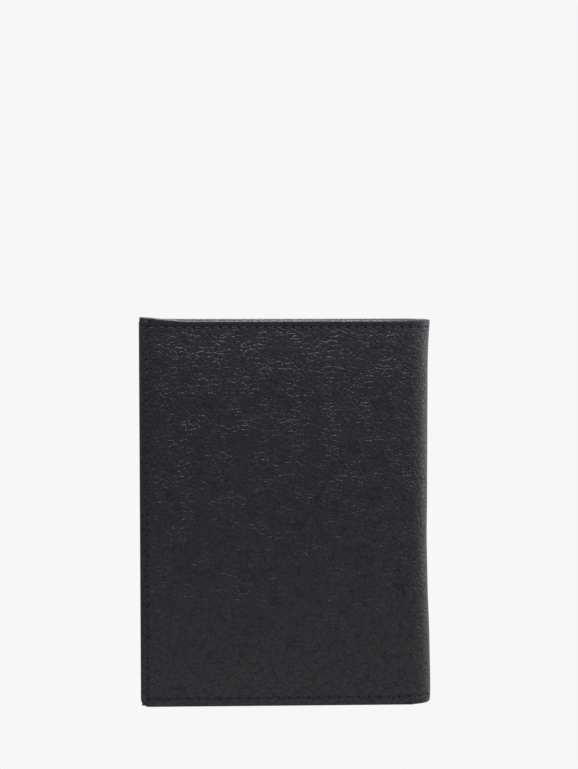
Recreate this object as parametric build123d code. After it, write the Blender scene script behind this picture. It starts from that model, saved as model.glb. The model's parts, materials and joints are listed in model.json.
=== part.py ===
from build123d import *
import math
import os

# Upright bifold card holder, folded shut and standing on its lower edges. Millimetres.
# X runs from the open edge to the spine, Y through the thickness, Z up.
# The rear half lies at -Y and the front half is its mirror image at +Y.

WIDTH = 98.0            # open edge to the outside of the spine
HEIGHT = 131.0
THICKNESS = 14.0        # outside of one cover to outside of the other
CORNER_R = 2.8          # lower corners at the open edge

LEATHER = 1.0           # outer leather
BOARD = 0.5             # stiffener, and the skived hem that takes its level
LINING = 0.5
PANEL = 0.6             # bill divider and T-shaped card pockets
POCKET = 0.8            # lowest, full-size card pocket

HEM_H = 12.0            # how far the top edge is turned in
LINING_DROP = 1.0       # lining stops this far under the turned edge
BOARD_TO_SPINE = 5.0    # stiffener stops this far before the cover starts to bend

# Depth of each layer under the outside face of its cover.
D_BOARD = LEATHER
D_LINING = D_BOARD + BOARD
D_MARGIN = D_LINING + LINING      # divider margin, sewn down on the lining
D_DIVIDER = D_MARGIN + PANEL      # divider face, clear of the lining
SLOT_GAP = 0.2                    # slack in each empty card slot
CARD_GAP = 0.4                    # room between the cards' sides and the pocket walls

BILL_TOP = 125.0        # upper edge of the bill divider
POCKET_TOPS = [94.0, 80.0, 66.0]  # upper edges of the T-shaped pockets
LOW_POCKET_TOP = 52.0
POCKET_DEPTH = 46.0
STEM_INSET = 4.0        # each side of a T's stem
MARGIN_SIDE = 4.4       # sewn margin at the open edge
MARGIN_BASE = 5.4       # sewn margin at the bottom
MARGIN_SPINE = 2.6      # sewn margin at the spine side of the stack
LAP = 1.0               # overlap inside a joggled sheet
JOGGLE = 0.3            # sideways slope of the lining's step and clearance of the divider's
EDGE_ROUND = 0.6        # rounding of the turned top edge

CARD_W = 85.6
STRIPS = 3              # rigid strips that stand for the bending spine
STRIP_GAP = 0.3
INNER_CUT = 0.5         # turned hem and lining stop this far before the first fold line

SEAM_SIDE = 2.3         # seam line to the open edge
SEAM_TOP = 2.3
SEAM_BASE = 3.0
SEAM_STACK = 1.2        # seam line to the spine side of the pocket stack
STEM_SEAM_RISE = 1.5    # hidden seam above the foot of each stem
STEM_SEAM_INSET = 2.0   # hidden seam's ends to the sides of the stem
STEM_SEAM_SLACK = 0.05  # left between a hidden thread and the next pocket
STITCH_W = 0.5
STITCH_T = 0.25
STITCH_SPACE = 0.75     # between two stitches
GROOVE_W = 0.7
SIDE_STITCHES = 36      # between the upper and the lower row
ROW_STITCHES = 26       # lower row, from the open edge to the first fold line
TOP_STITCHES = 30       # upper row over the same length, which is sewn closer
BEND_STITCH = 2.5       # stitch on the outside of a spine strip
BEND_STITCH_IN = 2.0    # and the shorter one on its inside

SPINE_X = WIDTH / 2 - THICKNESS / 2         # where the covers end and the bend starts
HINGES = STRIPS + 1
TURN = 180.0 / HINGES                       # degrees that each fold line turns
NEUTRAL_DEPTH = 0.7                         # layer that keeps its length in the bend
NEUTRAL_R = THICKNESS / 2 - NEUTRAL_DEPTH
FOLD_R = NEUTRAL_R / math.cos(math.radians(TURN / 2))
HALF_STRIP = NEUTRAL_R * math.tan(math.radians(TURN / 2))
HINGE_X = SPINE_X + HALF_STRIP              # first fold line, level with the rear cover
COVER_END = HINGE_X - STRIP_GAP / 2
INNER_END = HINGE_X - INNER_CUT

# Levels in a spine strip, outwards from its neutral layer.
N_OUT = NEUTRAL_DEPTH
N_LEATHER = N_OUT - LEATHER
N_LINING = N_LEATHER - LINING

OPEN_X = -WIDTH / 2
RISER_X = OPEN_X + MARGIN_SIDE              # inside face of the pocket wall at the open edge
STACK_X = RISER_X + CARD_W + CARD_GAP + MARGIN_SPINE
SIDE_SEAM_X = OPEN_X + SEAM_SIDE
STACK_SEAM_X = STACK_X - SEAM_STACK
TOP_SEAM_Z = HEIGHT - SEAM_TOP
SIDE_PITCH = (TOP_SEAM_Z - SEAM_BASE) / SIDE_STITCHES
ROW_PITCH = (HINGE_X - SIDE_SEAM_X) / ROW_STITCHES
TOP_PITCH = (HINGE_X - SIDE_SEAM_X) / TOP_STITCHES

os.makedirs("parts", exist_ok=True)


def slab(x0, x1, z0, z1, d0, d1):
    """A sheet of the rear half, from depth d0 to depth d1 under its outside face."""
    y0 = -THICKNESS / 2 + d0
    middle = Pos((x0 + x1) / 2, y0 + (d1 - d0) / 2, (z0 + z1) / 2)
    return middle * Box(x1 - x0, d1 - d0, z1 - z0)


def round_corner(shape):
    """Rounds the lower corner at the open edge."""
    block = slab(OPEN_X - 1, OPEN_X + CORNER_R, -1, CORNER_R, -1, THICKNESS)
    disc = Cylinder(CORNER_R, 4 * THICKNESS, rotation=(90, 0, 0))
    return shape - (block - Pos(OPEN_X + CORNER_R, 0, CORNER_R) * disc)


def section(points, z0, z1):
    """A prism from z0 to z1 over a closed outline in X and Y."""
    outline = make_face(Polyline(*points, close=True))
    return Pos(0, 0, z0) * extrude(outline, z1 - z0, dir=(0, 0, 1))


def groove(x0, x1, z0, z1):
    return slab(x0, x1, z0, z1, 0, STITCH_T)


def row(first, count, pitch):
    """Start and end of each stitch of a row, from its first needle hole."""
    ends = []
    for i in range(count):
        hole = first + i * pitch
        ends.append((hole + STITCH_SPACE / 2, hole + pitch - STITCH_SPACE / 2))
    return ends


def level_stitches(first, count, pitch, z, d0):
    """Horizontal row at height z whose stitches lie at depth d0."""
    half = STITCH_W / 2
    return [
        slab(a, b, z - half, z + half, d0, d0 + STITCH_T)
        for a, b in row(first, count, pitch)
    ]


def upright_stitches(first, count, x, depth_at):
    """Upright row at x, each stitch lying at the depth that depth_at gives for its span."""
    half = STITCH_W / 2
    made = []
    for a, b in row(first, count, SIDE_PITCH):
        d0 = depth_at(a, b)
        made.append(slab(x - half, x + half, a, b, d0, d0 + STITCH_T))
    return made


def outer_leather():
    """Cover leather with its top edge turned in, and grooves that take the outside threads."""
    sheet = slab(OPEN_X, COVER_END, 0, HEIGHT, 0, LEATHER)
    hem = slab(OPEN_X, COVER_END, HEIGHT - HEM_H, HEIGHT, LEATHER, D_LINING)
    cover = sheet + hem
    edges = cover.edges().filter_by(Axis.X).group_by(Axis.Z)[-1]
    cover = fillet(edges, EDGE_ROUND)
    cover -= slab(INNER_END, COVER_END, HEIGHT - HEM_H, HEIGHT, LEATHER, D_LINING)
    half = GROOVE_W / 2
    end = HINGE_X
    cover -= groove(OPEN_X - 1, end, TOP_SEAM_Z - half, TOP_SEAM_Z + half)
    cover -= groove(SIDE_SEAM_X - half, end, SEAM_BASE - half, SEAM_BASE + half)
    cover -= groove(SIDE_SEAM_X - half, SIDE_SEAM_X + half, SEAM_BASE - half, HEIGHT + 1)
    return round_corner(cover)


def stiffener():
    end = SPINE_X - BOARD_TO_SPINE
    return round_corner(slab(OPEN_X, end, 0, HEIGHT - HEM_H, D_BOARD, D_LINING))


def lining():
    """Lining glued over the stiffener, stepping down to the bare leather before the spine."""
    top = HEIGHT - LINING_DROP
    step = SPINE_X - BOARD_TO_SPINE
    y0 = -THICKNESS / 2
    outline = [
        (OPEN_X, y0 + D_LINING),
        (step, y0 + D_LINING),
        (step + LAP, y0 + D_BOARD),
        (INNER_END, y0 + D_BOARD),
        (INNER_END, y0 + D_LINING),
        (step + LAP + JOGGLE, y0 + D_LINING),
        (step + JOGGLE, y0 + D_MARGIN),
        (OPEN_X, y0 + D_MARGIN),
    ]
    whole = section(outline, 0, HEIGHT - HEM_H)
    above = slab(OPEN_X, step, HEIGHT - HEM_H, top, D_LINING, D_MARGIN)
    return round_corner(whole + above)


def bill_divider():
    """Inner wall of the bill compartment, sewn down at the open edge and the bottom."""
    face_x = RISER_X + JOGGLE
    face_z = MARGIN_BASE + JOGGLE
    foot = slab(OPEN_X, STACK_X, 0, face_z + LAP, D_MARGIN, D_DIVIDER)
    side = slab(OPEN_X, face_x + LAP, 0, BILL_TOP, D_MARGIN, D_DIVIDER)
    face = slab(face_x, STACK_X, face_z, BILL_TOP, D_DIVIDER, D_DIVIDER + PANEL)
    return round_corner(foot + side + face)


def card_pocket(number):
    """T-shaped card pocket: wings sewn in at both sides, stem hidden behind the next pocket."""
    top = POCKET_TOPS[number]
    pitch = POCKET_TOPS[0] - POCKET_TOPS[1]
    d0 = D_DIVIDER + PANEL + SLOT_GAP + number * (PANEL + SLOT_GAP)
    d1 = d0 + PANEL
    wall = STACK_X - MARGIN_SPINE
    band = slab(RISER_X - PANEL, wall + PANEL, top - pitch, top, d0, d1)
    stem = slab(RISER_X + STEM_INSET, wall - STEM_INSET, top - POCKET_DEPTH, top, d0, d1)
    open_wing = slab(OPEN_X, RISER_X, top - pitch, top, D_DIVIDER, D_DIVIDER + PANEL)
    open_wall = slab(RISER_X - PANEL, RISER_X, top - pitch, top, D_DIVIDER, d1)
    spine_d = D_DIVIDER + PANEL
    spine_wing = slab(wall, STACK_X, top - pitch, top, spine_d, spine_d + PANEL)
    spine_wall = slab(wall, wall + PANEL, top - pitch, top, spine_d, d1)
    return band + stem + open_wing + open_wall + spine_wing + spine_wall


def low_pocket():
    """Lowest card pocket, a shallow tray over the three stems, sewn in on three sides."""
    d0 = D_DIVIDER + PANEL + SLOT_GAP + len(POCKET_TOPS) * (PANEL + SLOT_GAP)
    d1 = d0 + POCKET
    top = LOW_POCKET_TOP
    wall = STACK_X - MARGIN_SPINE
    base = MARGIN_BASE - POCKET
    face = slab(RISER_X - POCKET, wall + POCKET, base, top, d0, d1)
    side = slab(OPEN_X, RISER_X, 0, top, D_DIVIDER, D_DIVIDER + POCKET)
    side_wall = slab(RISER_X - POCKET, RISER_X, base, top, D_DIVIDER, d1)
    foot = slab(OPEN_X, STACK_X, 0, MARGIN_BASE, D_DIVIDER, D_DIVIDER + POCKET)
    foot_wall = slab(RISER_X - POCKET, wall + POCKET, base, MARGIN_BASE, D_DIVIDER, d1)
    spine_d = D_DIVIDER + PANEL
    spine = slab(wall, STACK_X, base, top, spine_d, spine_d + POCKET)
    spine_wall = slab(wall, wall + POCKET, base, top, spine_d, d1)
    return round_corner(face + side + side_wall + foot + foot_wall + spine + spine_wall)


def inner_face(a, b):
    """Depth of the innermost margin along the open edge, over the whole span from a to b."""
    if a < LOW_POCKET_TOP:
        return D_DIVIDER + POCKET
    if a < POCKET_TOPS[0]:
        return D_DIVIDER + PANEL
    return D_DIVIDER if a < BILL_TOP else D_MARGIN


def top_seam():
    """Row along the turned top edge, outside in its groove and inside on the lining."""
    first = SIDE_SEAM_X - TOP_PITCH / 2
    outside = level_stitches(first, TOP_STITCHES, TOP_PITCH, TOP_SEAM_Z, 0)
    spans = row(first, TOP_STITCHES, TOP_PITCH)
    half = STITCH_W / 2
    step = SPINE_X - BOARD_TO_SPINE
    inside = []
    for a, b in spans:
        if a < step < b:
            continue
        d0 = D_MARGIN if b < step else D_LINING
        b = min(b, INNER_END)
        inside.append(slab(a, b, TOP_SEAM_Z - half, TOP_SEAM_Z + half, d0, d0 + STITCH_T))
    return Compound(children=outside + inside)


def edge_seam():
    """Row down the open edge from the top, then along the bottom to the spine."""
    outside = upright_stitches(SEAM_BASE, SIDE_STITCHES, SIDE_SEAM_X, lambda a, b: 0)
    inside = upright_stitches(SEAM_BASE, SIDE_STITCHES, SIDE_SEAM_X, inner_face)
    outside += level_stitches(SIDE_SEAM_X, ROW_STITCHES, ROW_PITCH, SEAM_BASE, 0)
    stack_count = int((STACK_X - SIDE_SEAM_X) / ROW_PITCH)
    inside += level_stitches(SIDE_SEAM_X, stack_count, ROW_PITCH, SEAM_BASE, D_DIVIDER + POCKET)
    half = STITCH_W / 2
    low, high = TOP_SEAM_Z + STITCH_SPACE / 2, HEIGHT - EDGE_ROUND
    outside.append(slab(SIDE_SEAM_X - half, SIDE_SEAM_X + half, low, high, 0, STITCH_T))
    return Compound(children=outside + inside)


def stack_seam():
    """Row at the spine side of the pocket stack, on its face and on the back of the divider."""
    def face(a, b):
        level = D_DIVIDER + PANEL
        return level + (POCKET if a < LOW_POCKET_TOP else PANEL)

    count = int((POCKET_TOPS[0] - MARGIN_BASE) / SIDE_PITCH)
    first = POCKET_TOPS[0] - count * SIDE_PITCH
    front = upright_stitches(first, count, STACK_SEAM_X, face)
    back = upright_stitches(first, count, STACK_SEAM_X, lambda a, b: D_DIVIDER - STITCH_T)
    return Compound(children=front + back)


def pocket_base_seams():
    """Hidden row at the foot of each T-shaped pocket, holding its stem on the divider."""
    made = []
    wall = STACK_X - MARGIN_SPINE
    left = RISER_X + STEM_INSET + STEM_SEAM_INSET
    right = wall - STEM_INSET - STEM_SEAM_INSET
    count = int((right - left) / ROW_PITCH)
    for number, top in enumerate(POCKET_TOPS):
        d1 = D_DIVIDER + PANEL + (number + 1) * (PANEL + SLOT_GAP)
        z = top - POCKET_DEPTH + STEM_SEAM_RISE
        half = STITCH_W / 2
        for a, b in row(left, count, ROW_PITCH):
            made.append(slab(a, b, z - half, z + half, d1, d1 + SLOT_GAP - STEM_SEAM_SLACK))
    return Compound(children=made)


def strip_frame(number):
    """Place of spine strip number: origin on the neutral arc, X along the strip, Y outwards."""
    angle = -90 + TURN * number
    return Pos(SPINE_X, 0, 0) * Rot(0, 0, angle) * Pos(NEUTRAL_R, 0, 0) * Rot(0, 0, -90)


def strip_outline(n0, n1):
    """Outline of a strip between n0 and n1 from the neutral arc, cut back so neighbours clear."""
    half = HALF_STRIP - STRIP_GAP / 2
    slope = math.tan(math.radians(TURN / 2))

    def reach(n):
        return half + min(n, 0) * slope

    if n0 < 0 < n1:
        return [(-reach(n0), n0), (reach(n0), n0), (half, 0), (half, n1), (-half, n1), (-half, 0)]
    return [(-reach(n0), n0), (reach(n0), n0), (reach(n1), n1), (-reach(n1), n1)]


def strip_leather(number):
    hem_z = HEIGHT - HEM_H
    low = section(strip_outline(N_LEATHER, N_OUT), 0, hem_z)
    high = section(strip_outline(N_LINING, N_OUT), hem_z, HEIGHT)
    body = low + high
    for z in (TOP_SEAM_Z, SEAM_BASE):
        body -= Pos(0, N_OUT - STITCH_T / 2, z) * Box(2 * HALF_STRIP, STITCH_T, GROOVE_W)
    return strip_frame(number) * body


def strip_lining(number):
    return strip_frame(number) * section(strip_outline(N_LINING, N_LEATHER), 0, HEIGHT - HEM_H)


def strip_stitches(number):
    """Two stitches outside and two inside, one of each in the upper and in the lower row."""
    made = []
    for z in (TOP_SEAM_Z, SEAM_BASE):
        made.append(Pos(0, N_OUT - STITCH_T / 2, z) * Box(BEND_STITCH, STITCH_T, STITCH_W))
        made.append(Pos(0, N_LINING - STITCH_T / 2, z) * Box(BEND_STITCH_IN, STITCH_T, STITCH_W))
    return Compound(children=[strip_frame(number) * stitch for stitch in made])


def half_nodes():
    nodes = {
        "outer_leather": outer_leather(),
        "stiffener": stiffener(),
        "lining": lining(),
        "bill_divider": bill_divider(),
        "low_pocket": low_pocket(),
        "top_seam": top_seam(),
        "edge_seam": edge_seam(),
        "stack_seam": stack_seam(),
        "pocket_base_seams": pocket_base_seams(),
    }
    for number in range(len(POCKET_TOPS)):
        nodes[f"card_pocket_{number + 1}"] = card_pocket(number)
    return nodes


def main():
    for name, shape in half_nodes().items():
        export_step(shape, f"parts/rear_{name}.step")
        export_step(mirror(shape, about=Plane.XZ), f"parts/front_{name}.step")
    for number in range(1, STRIPS + 1):
        export_step(strip_leather(number), f"parts/spine_leather_{number}.step")
        export_step(strip_lining(number), f"parts/spine_lining_{number}.step")
        export_step(strip_stitches(number), f"parts/spine_stitches_{number}.step")
    for fold in range(HINGES):
        angle = math.radians(-90 + TURN * (fold + 0.5))
        x = SPINE_X + FOLD_R * math.cos(angle)
        y = FOLD_R * math.sin(angle)
        print(f"fold_{fold + 1} axis at x {x:.4f} y {y:.4f}, turning {TURN:g} degrees")


main()
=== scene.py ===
import json
import math

import bpy
import numpy as np
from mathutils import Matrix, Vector

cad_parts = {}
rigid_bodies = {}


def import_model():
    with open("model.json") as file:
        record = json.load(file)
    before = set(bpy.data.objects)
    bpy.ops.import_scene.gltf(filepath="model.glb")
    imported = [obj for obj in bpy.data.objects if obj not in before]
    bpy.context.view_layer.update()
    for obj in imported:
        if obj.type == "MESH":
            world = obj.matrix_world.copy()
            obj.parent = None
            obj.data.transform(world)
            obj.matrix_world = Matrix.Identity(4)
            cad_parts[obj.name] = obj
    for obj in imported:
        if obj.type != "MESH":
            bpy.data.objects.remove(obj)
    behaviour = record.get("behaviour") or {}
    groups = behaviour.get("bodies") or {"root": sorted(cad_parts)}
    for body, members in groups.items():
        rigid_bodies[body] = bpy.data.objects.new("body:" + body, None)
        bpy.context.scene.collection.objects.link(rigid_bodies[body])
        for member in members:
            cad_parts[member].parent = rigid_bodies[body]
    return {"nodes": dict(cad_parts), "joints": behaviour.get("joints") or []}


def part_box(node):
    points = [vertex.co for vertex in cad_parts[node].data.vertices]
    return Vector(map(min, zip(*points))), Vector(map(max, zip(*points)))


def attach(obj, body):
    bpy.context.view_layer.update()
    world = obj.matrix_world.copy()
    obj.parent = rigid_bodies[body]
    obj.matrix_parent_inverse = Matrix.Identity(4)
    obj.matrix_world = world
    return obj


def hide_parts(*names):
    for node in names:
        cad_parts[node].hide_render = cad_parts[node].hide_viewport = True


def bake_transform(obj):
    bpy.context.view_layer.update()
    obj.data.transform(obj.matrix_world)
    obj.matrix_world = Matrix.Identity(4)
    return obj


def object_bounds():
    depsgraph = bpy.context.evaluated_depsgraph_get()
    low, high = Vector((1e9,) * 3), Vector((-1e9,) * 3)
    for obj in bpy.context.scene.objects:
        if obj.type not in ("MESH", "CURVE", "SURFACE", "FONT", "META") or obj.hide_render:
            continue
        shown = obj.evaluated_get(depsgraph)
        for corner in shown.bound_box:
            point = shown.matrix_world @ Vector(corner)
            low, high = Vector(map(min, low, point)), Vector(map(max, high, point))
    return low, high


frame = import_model()
cadLow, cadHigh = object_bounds()
print("frame loaded")

mm = 0.001

# Places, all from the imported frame
folds = sorted(frame["joints"], key=lambda joint: joint["name"])
bodyOrder = [folds[0]["parent"]] + [joint["child"] for joint in folds]
turn = math.radians(folds[0]["range_deg"][1])      # how far each fold line turns
neutralRadius = -folds[0]["pos_m"][1]
outRadius = cadHigh.y
openX = cadLow.x
height = cadHigh.z
spineX = folds[0]["pos_m"][0] - neutralRadius * math.tan(turn / 2)
bendLength = math.pi * outRadius
wrapLength = 2 * (spineX - openX) + bendLength     # outside face, open edge to open edge
endS = openX + wrapLength

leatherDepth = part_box("rear_stiffener")[0].y - cadLow.y
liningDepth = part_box("rear_lining")[1].y - cadLow.y
liningSkin = 0.5 * mm
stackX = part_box("rear_bill_divider")[1].x
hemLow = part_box("rear_stiffener")[1].z
topSeamZ = (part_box("rear_top_seam")[0].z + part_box("rear_top_seam")[1].z) / 2
halfStitch = 0.25 * mm      # from a seam's side to its middle
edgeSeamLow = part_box("rear_edge_seam")[0]
seamInset = edgeSeamLow.x + halfStitch - openX
baseSeamZ = edgeSeamLow.z + halfStitch
hair = 0.02 * mm            # kept between two layers that touch
boardGap = 5 * mm           # board and full lining depth end this far before the bend


# Meshes
def smoothStep(t):
    # 3 t squared less 2 t cubed, held between 0 and 1
    t = np.clip(t, 0.0, 1.0)
    return t * t * (3 - 2 * t)


def makePiece(name, points, faces, uv=None, press=None, sharpAngle=50):
    # One mesh object from plain arrays; uv is per point, in metres on the flat hide
    mesh = bpy.data.meshes.new(name)
    mesh.from_pydata(points.reshape(-1, 3).tolist(), [], faces)
    mesh.update()
    if uv is not None:
        layer = mesh.uv_layers.new(name="hide")
        corner = np.zeros(len(mesh.loops), int)
        mesh.loops.foreach_get("vertex_index", corner)
        layer.data.foreach_set("uv", uv.reshape(-1, 2)[corner].astype(np.float32).ravel())
    if press is not None:
        attribute = mesh.attributes.new("press", "FLOAT", "POINT")
        attribute.data.foreach_set("value", press.reshape(-1).astype(np.float32))
    mesh.shade_smooth()
    mesh.set_sharp_from_angle(angle=math.radians(sharpAngle))
    piece = bpy.data.objects.new(name, mesh)
    bpy.context.collection.objects.link(piece)
    return piece


def tubeFaces(count, around, rings, flip=False):
    # Quads of count tubes, each of rings rings of around points, with a flat cap at both ends
    ring, step = np.meshgrid(np.arange(rings - 1), np.arange(around), indexing="ij")
    after = (step + 1) % around
    quads = np.stack([ring * around + step, ring * around + after,
                      (ring + 1) * around + after, (ring + 1) * around + step], -1).reshape(-1, 4)
    first = np.arange(around)[::-1]
    last = (rings - 1) * around + np.arange(around)
    if flip:
        quads, first, last = quads[:, ::-1], first[::-1], last[::-1]
    faces = []
    for number in range(count):
        base = number * around * rings
        faces += (quads + base).tolist()
        faces += [(first + base).tolist(), (last + base).tolist()]
    return faces


flare = {
    "foot": 1.5 * mm,       # the spine spreads at the foot and at the top, and waists in between
    "footReach": 60 * mm,
    "top": 0.65 * mm,
    "topReach": 22 * mm,
    "waist": 0.5 * mm,
}


def wrap(s, z, depth):
    # Point of the wrapped hide: flat along the rear cover, half a circle round the spine, flat back.
    # s runs along the outside face, depth goes inwards from it. The spine waists in at mid height.
    angle = np.clip((s - spineX) / outRadius, 0.0, np.pi)
    past = s - spineX - outRadius * angle
    radius = outRadius - depth
    spread = flare["foot"] * smoothStep(1 - z / flare["footReach"]) - flare["waist"]
    spread = spread + flare["top"] * np.clip(1 - (height - z) / flare["topReach"], 0, 1) ** 3
    x = spineX + radius * np.sin(angle) + past * np.cos(angle) + spread * np.sin(angle) ** 2
    y = -radius * np.cos(angle) + past * np.sin(angle)
    return np.stack(np.broadcast_arrays(x, y, z), -1)


def seamDistance(edge, z):
    # Distance to the row down the open edge and along the bottom, and to the top row
    side, base = edge - seamInset, z - baseSeamZ
    inside = np.minimum(np.abs(side), np.abs(base))
    outside = np.where(side < 0, np.where(base < 0, np.hypot(side, base), np.abs(side)), np.abs(base))
    corner = np.where((side > 0) & (base > 0), inside, outside)
    return corner, np.abs(z - topSeamZ)


cover = {
    "rows": 0.62 * mm,          # spacing of the mesh up the cover
    "columns": 0.62 * mm,
    "fine": 0.22 * mm,          # spacing beside a seam
    "cornerRadius": 2.8 * mm,
    "grooveDepth": 0.16 * mm,   # how far the thread pulls the leather in
    "grooveWidth": 0.42 * mm,
    "beadPower": 0.75,          # squares the turned edge off a little
    "edgeDrop": 0.30 * mm,      # the cut edge is pared down
    "edgeReach": 1.0 * mm,
    "inset": 0.12 * mm,         # cut edges stand inside the edge paint
    "pillow": 0.30 * mm,        # soft crown of the whole cover
    "wave": 0.05 * mm,
    "bendHollow": 0.40 * mm,    # the leather leaves the flat cover a little before the bend
    "bendReach": 4.6 * mm,
    "cornerRise": 1.25 * mm,    # the rear cover's top corner has curled up a little
    "riseReach": 19 * mm,
    "riseDepth": 3.4 * mm,
    "frontRise": 0.15 * mm,
}


def spaced(low, high, coarse, fine, near, reach):
    # Positions from low to high, close together within reach of each value in near
    edges = [low]
    while edges[-1] < high:
        here = edges[-1]
        gap = min([abs(here - value) for value in near] + [1.0])
        step = fine + (coarse - fine) * float(smoothStep((gap - reach) / (2 * reach)))
        edges.append(here + step)
    edges = np.array(edges)
    return low + (edges - low) * (high - low) / (edges[-1] - low)


wavePhases = np.random.default_rng(7).uniform(0, 2 * np.pi, (9, 2))
waveTurns = np.random.default_rng(8).uniform(0.15, 1.0, (9, 2)) * 2 * np.pi / (20 * mm)


def coverRelief(s, z, edge):
    # Extra depth of the outside face: seam grooves, pared cut edges, soft crown and slow waves
    low, top = seamDistance(edge, z)
    groove = np.exp(-(low / cover["grooveWidth"]) ** 2) + np.exp(-(top / cover["grooveWidth"]) ** 2)
    drop = np.exp(-np.maximum(edge, 0) / cover["edgeReach"]) + np.exp(-z / cover["edgeReach"])
    flat = smoothStep(edge / (20 * mm)) * smoothStep(z / (20 * mm)) * smoothStep((height - z) / (20 * mm))
    crown = -cover["pillow"] * flat * smoothStep((spineX - openX - edge) / (30 * mm))
    waves = np.zeros(np.broadcast(s, z).shape)
    for (alongTurn, upTurn), (alongPhase, upPhase) in zip(waveTurns, wavePhases):
        waves = waves + np.sin(s * alongTurn + alongPhase) * np.sin(z * upTurn + upPhase)
    waves = waves * cover["wave"] / 3 * smoothStep(edge / (6 * mm)) * smoothStep((height - z) / (8 * mm))
    toBend = np.minimum(s, endS + openX - s) - spineX - 1.5 * mm
    hollow = cover["bendHollow"] * np.exp(-(toBend / cover["bendReach"]) ** 2)
    pulled = cover["grooveDepth"] * np.clip(groove, 0, 1) + cover["edgeDrop"] * np.clip(drop, 0, 1)
    return pulled + crown + waves + hollow


def hideSection():
    # Closed section of the hide in height and depth: outside face up, round the turned top edge,
    # down the turned-in hem, and back to the foot. Returns height, depth, distance along it, and
    # how much each point follows the outside relief.
    hem = liningDepth - liningSkin
    bead = hem / 2
    rows = spaced(cover["inset"] + 0.25 * mm, height - bead, cover["rows"], cover["fine"],
                  [baseSeamZ, topSeamZ], 0.9 * mm)
    bend = np.linspace(0, np.pi, 15)[1:-1]
    hemRows = np.linspace(height - bead, hemLow + 0.4 * mm, 12)
    squareSin = np.sin(bend) ** cover["beadPower"]
    squareCos = np.sign(np.cos(bend)) * np.abs(np.cos(bend)) ** cover["beadPower"]
    z = np.concatenate([rows, height - bead + bead * squareSin, hemRows,
                        [hemLow, hemLow, cover["inset"], cover["inset"]]])
    depth = np.concatenate([rows * 0, bead - bead * squareCos, hemRows * 0 + hem,
                            [hem - 0.15 * mm, leatherDepth, leatherDepth, 0.25 * mm]])
    along = np.concatenate([[0], np.cumsum(np.hypot(np.diff(z), np.diff(depth)))]) + z[0]
    follow = np.clip(1 - depth / (0.8 * leatherDepth), 0, 1)
    return z, depth, along, follow


def hideSpan(name, sLow, sHigh, coarse, rising=0.0):
    # A stretch of the hide: the section carried along s, with the lower corner at the open edge rounded
    z, depth, along, follow = hideSection()
    near = [openX + seamInset, endS - seamInset, openX + cover["cornerRadius"], endS - cover["cornerRadius"]]
    s = spaced(sLow, sHigh, coarse, min(cover["fine"], coarse), near, 0.9 * mm)
    s, z = s[:, None], z[None, :]
    edge = np.minimum(s - openX, endS - s)
    radius = cover["cornerRadius"]
    short = np.clip(radius - edge, 0, radius)
    foot = radius - np.sqrt(np.maximum(radius ** 2 - short ** 2, 0))
    placed = z + foot * (1 - z / height)
    depthNow = depth[None, :] + follow[None, :] * coverRelief(s, placed, edge)
    curl = smoothStep((cover["riseReach"] - edge) / cover["riseReach"]) ** 1.5
    lift = rising * curl * np.clip((placed - height + cover["riseDepth"]) / cover["riseDepth"], 0, 1)
    sNow = s + np.where(s < spineX, 1, -1) * cover["inset"] * np.exp(-edge / (1 * mm))
    points = wrap(sNow, placed + lift, depthNow)
    uv = np.stack(np.broadcast_arrays(s, along[None, :]), -1)
    sides, tops = seamDistance(edge, placed)
    margin = smoothStep((seamInset + 1.5 * mm - edge) / (2 * mm))
    margin = margin + smoothStep((z - topSeamZ + 1 * mm) / (2 * mm))
    upperEdge = smoothStep((11 * mm - edge) / (9 * mm)) * smoothStep((placed - 70 * mm) / (30 * mm))
    margin = margin + 0.55 * upperEdge
    margin = margin + smoothStep((baseSeamZ - 0.3 * mm - z) / (2 * mm))
    margin = margin + np.exp(-(np.minimum(sides, tops) / mm) ** 2)
    press = np.clip(margin, 0, 1) + 1.0 * (placed < 0.4 * mm + foot)
    piece = makePiece(name, points, tubeFaces(1, z.size, s.size, flip=True), uv, press, 60)
    return piece


def foldSpans():
    # Each fold line's stretch of the spine, as the two bodies it joins and its low and high s
    arc = turn * outRadius
    return [(bodyOrder[k], bodyOrder[k + 1], spineX + k * arc, spineX + (k + 1) * arc)
            for k in range(len(folds))]


def bendAcross(piece):
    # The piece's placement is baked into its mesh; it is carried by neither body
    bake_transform(piece)


hidePieces = []


def makeHide():
    rear = hideSpan("rearHide", openX, spineX, cover["columns"], cover["cornerRise"])
    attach(rear, "rear_cover")
    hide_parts("rear_outer_leather")
    front = hideSpan("frontHide", endS - (spineX - openX), endS, cover["columns"], cover["frontRise"])
    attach(front, "front_cover")
    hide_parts("front_outer_leather")
    hidePieces.extend([rear, front])
    for number, (first, second, low, high) in enumerate(foldSpans()):
        piece = hideSpan(f"spineHide{number + 1}", low, high, 0.3 * mm)
        bendAcross(piece)
        if number + 1 < len(folds):
            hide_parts(f"spine_leather_{number + 1}")
        hidePieces.append(piece)
    print("hide wrapped round both covers and the spine")


makeHide()

# Seams
thread = {
    "radius": 0.24 * mm,
    "pitch": 3.476 * mm,
    "topPitch": 3.04 * mm,      # the upper row is sewn closer
    "gap": 0.55 * mm,           # between two stitches, over the needle hole
    "rise": 0.02 * mm,          # depth of the thread's middle under the face, before the groove
    "dip": 0.42 * mm,           # how far its ends dive into the hole
    "tuck": 0.4 * mm,           # and those of the thread over the top edge
    "slant": 0.30 * mm,
    "around": 8,
    "rings": 9,
    "twist": 2.5,
}
slit = {"length": 1.25 * mm, "width": 0.42 * mm, "lean": math.radians(48)}


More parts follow.
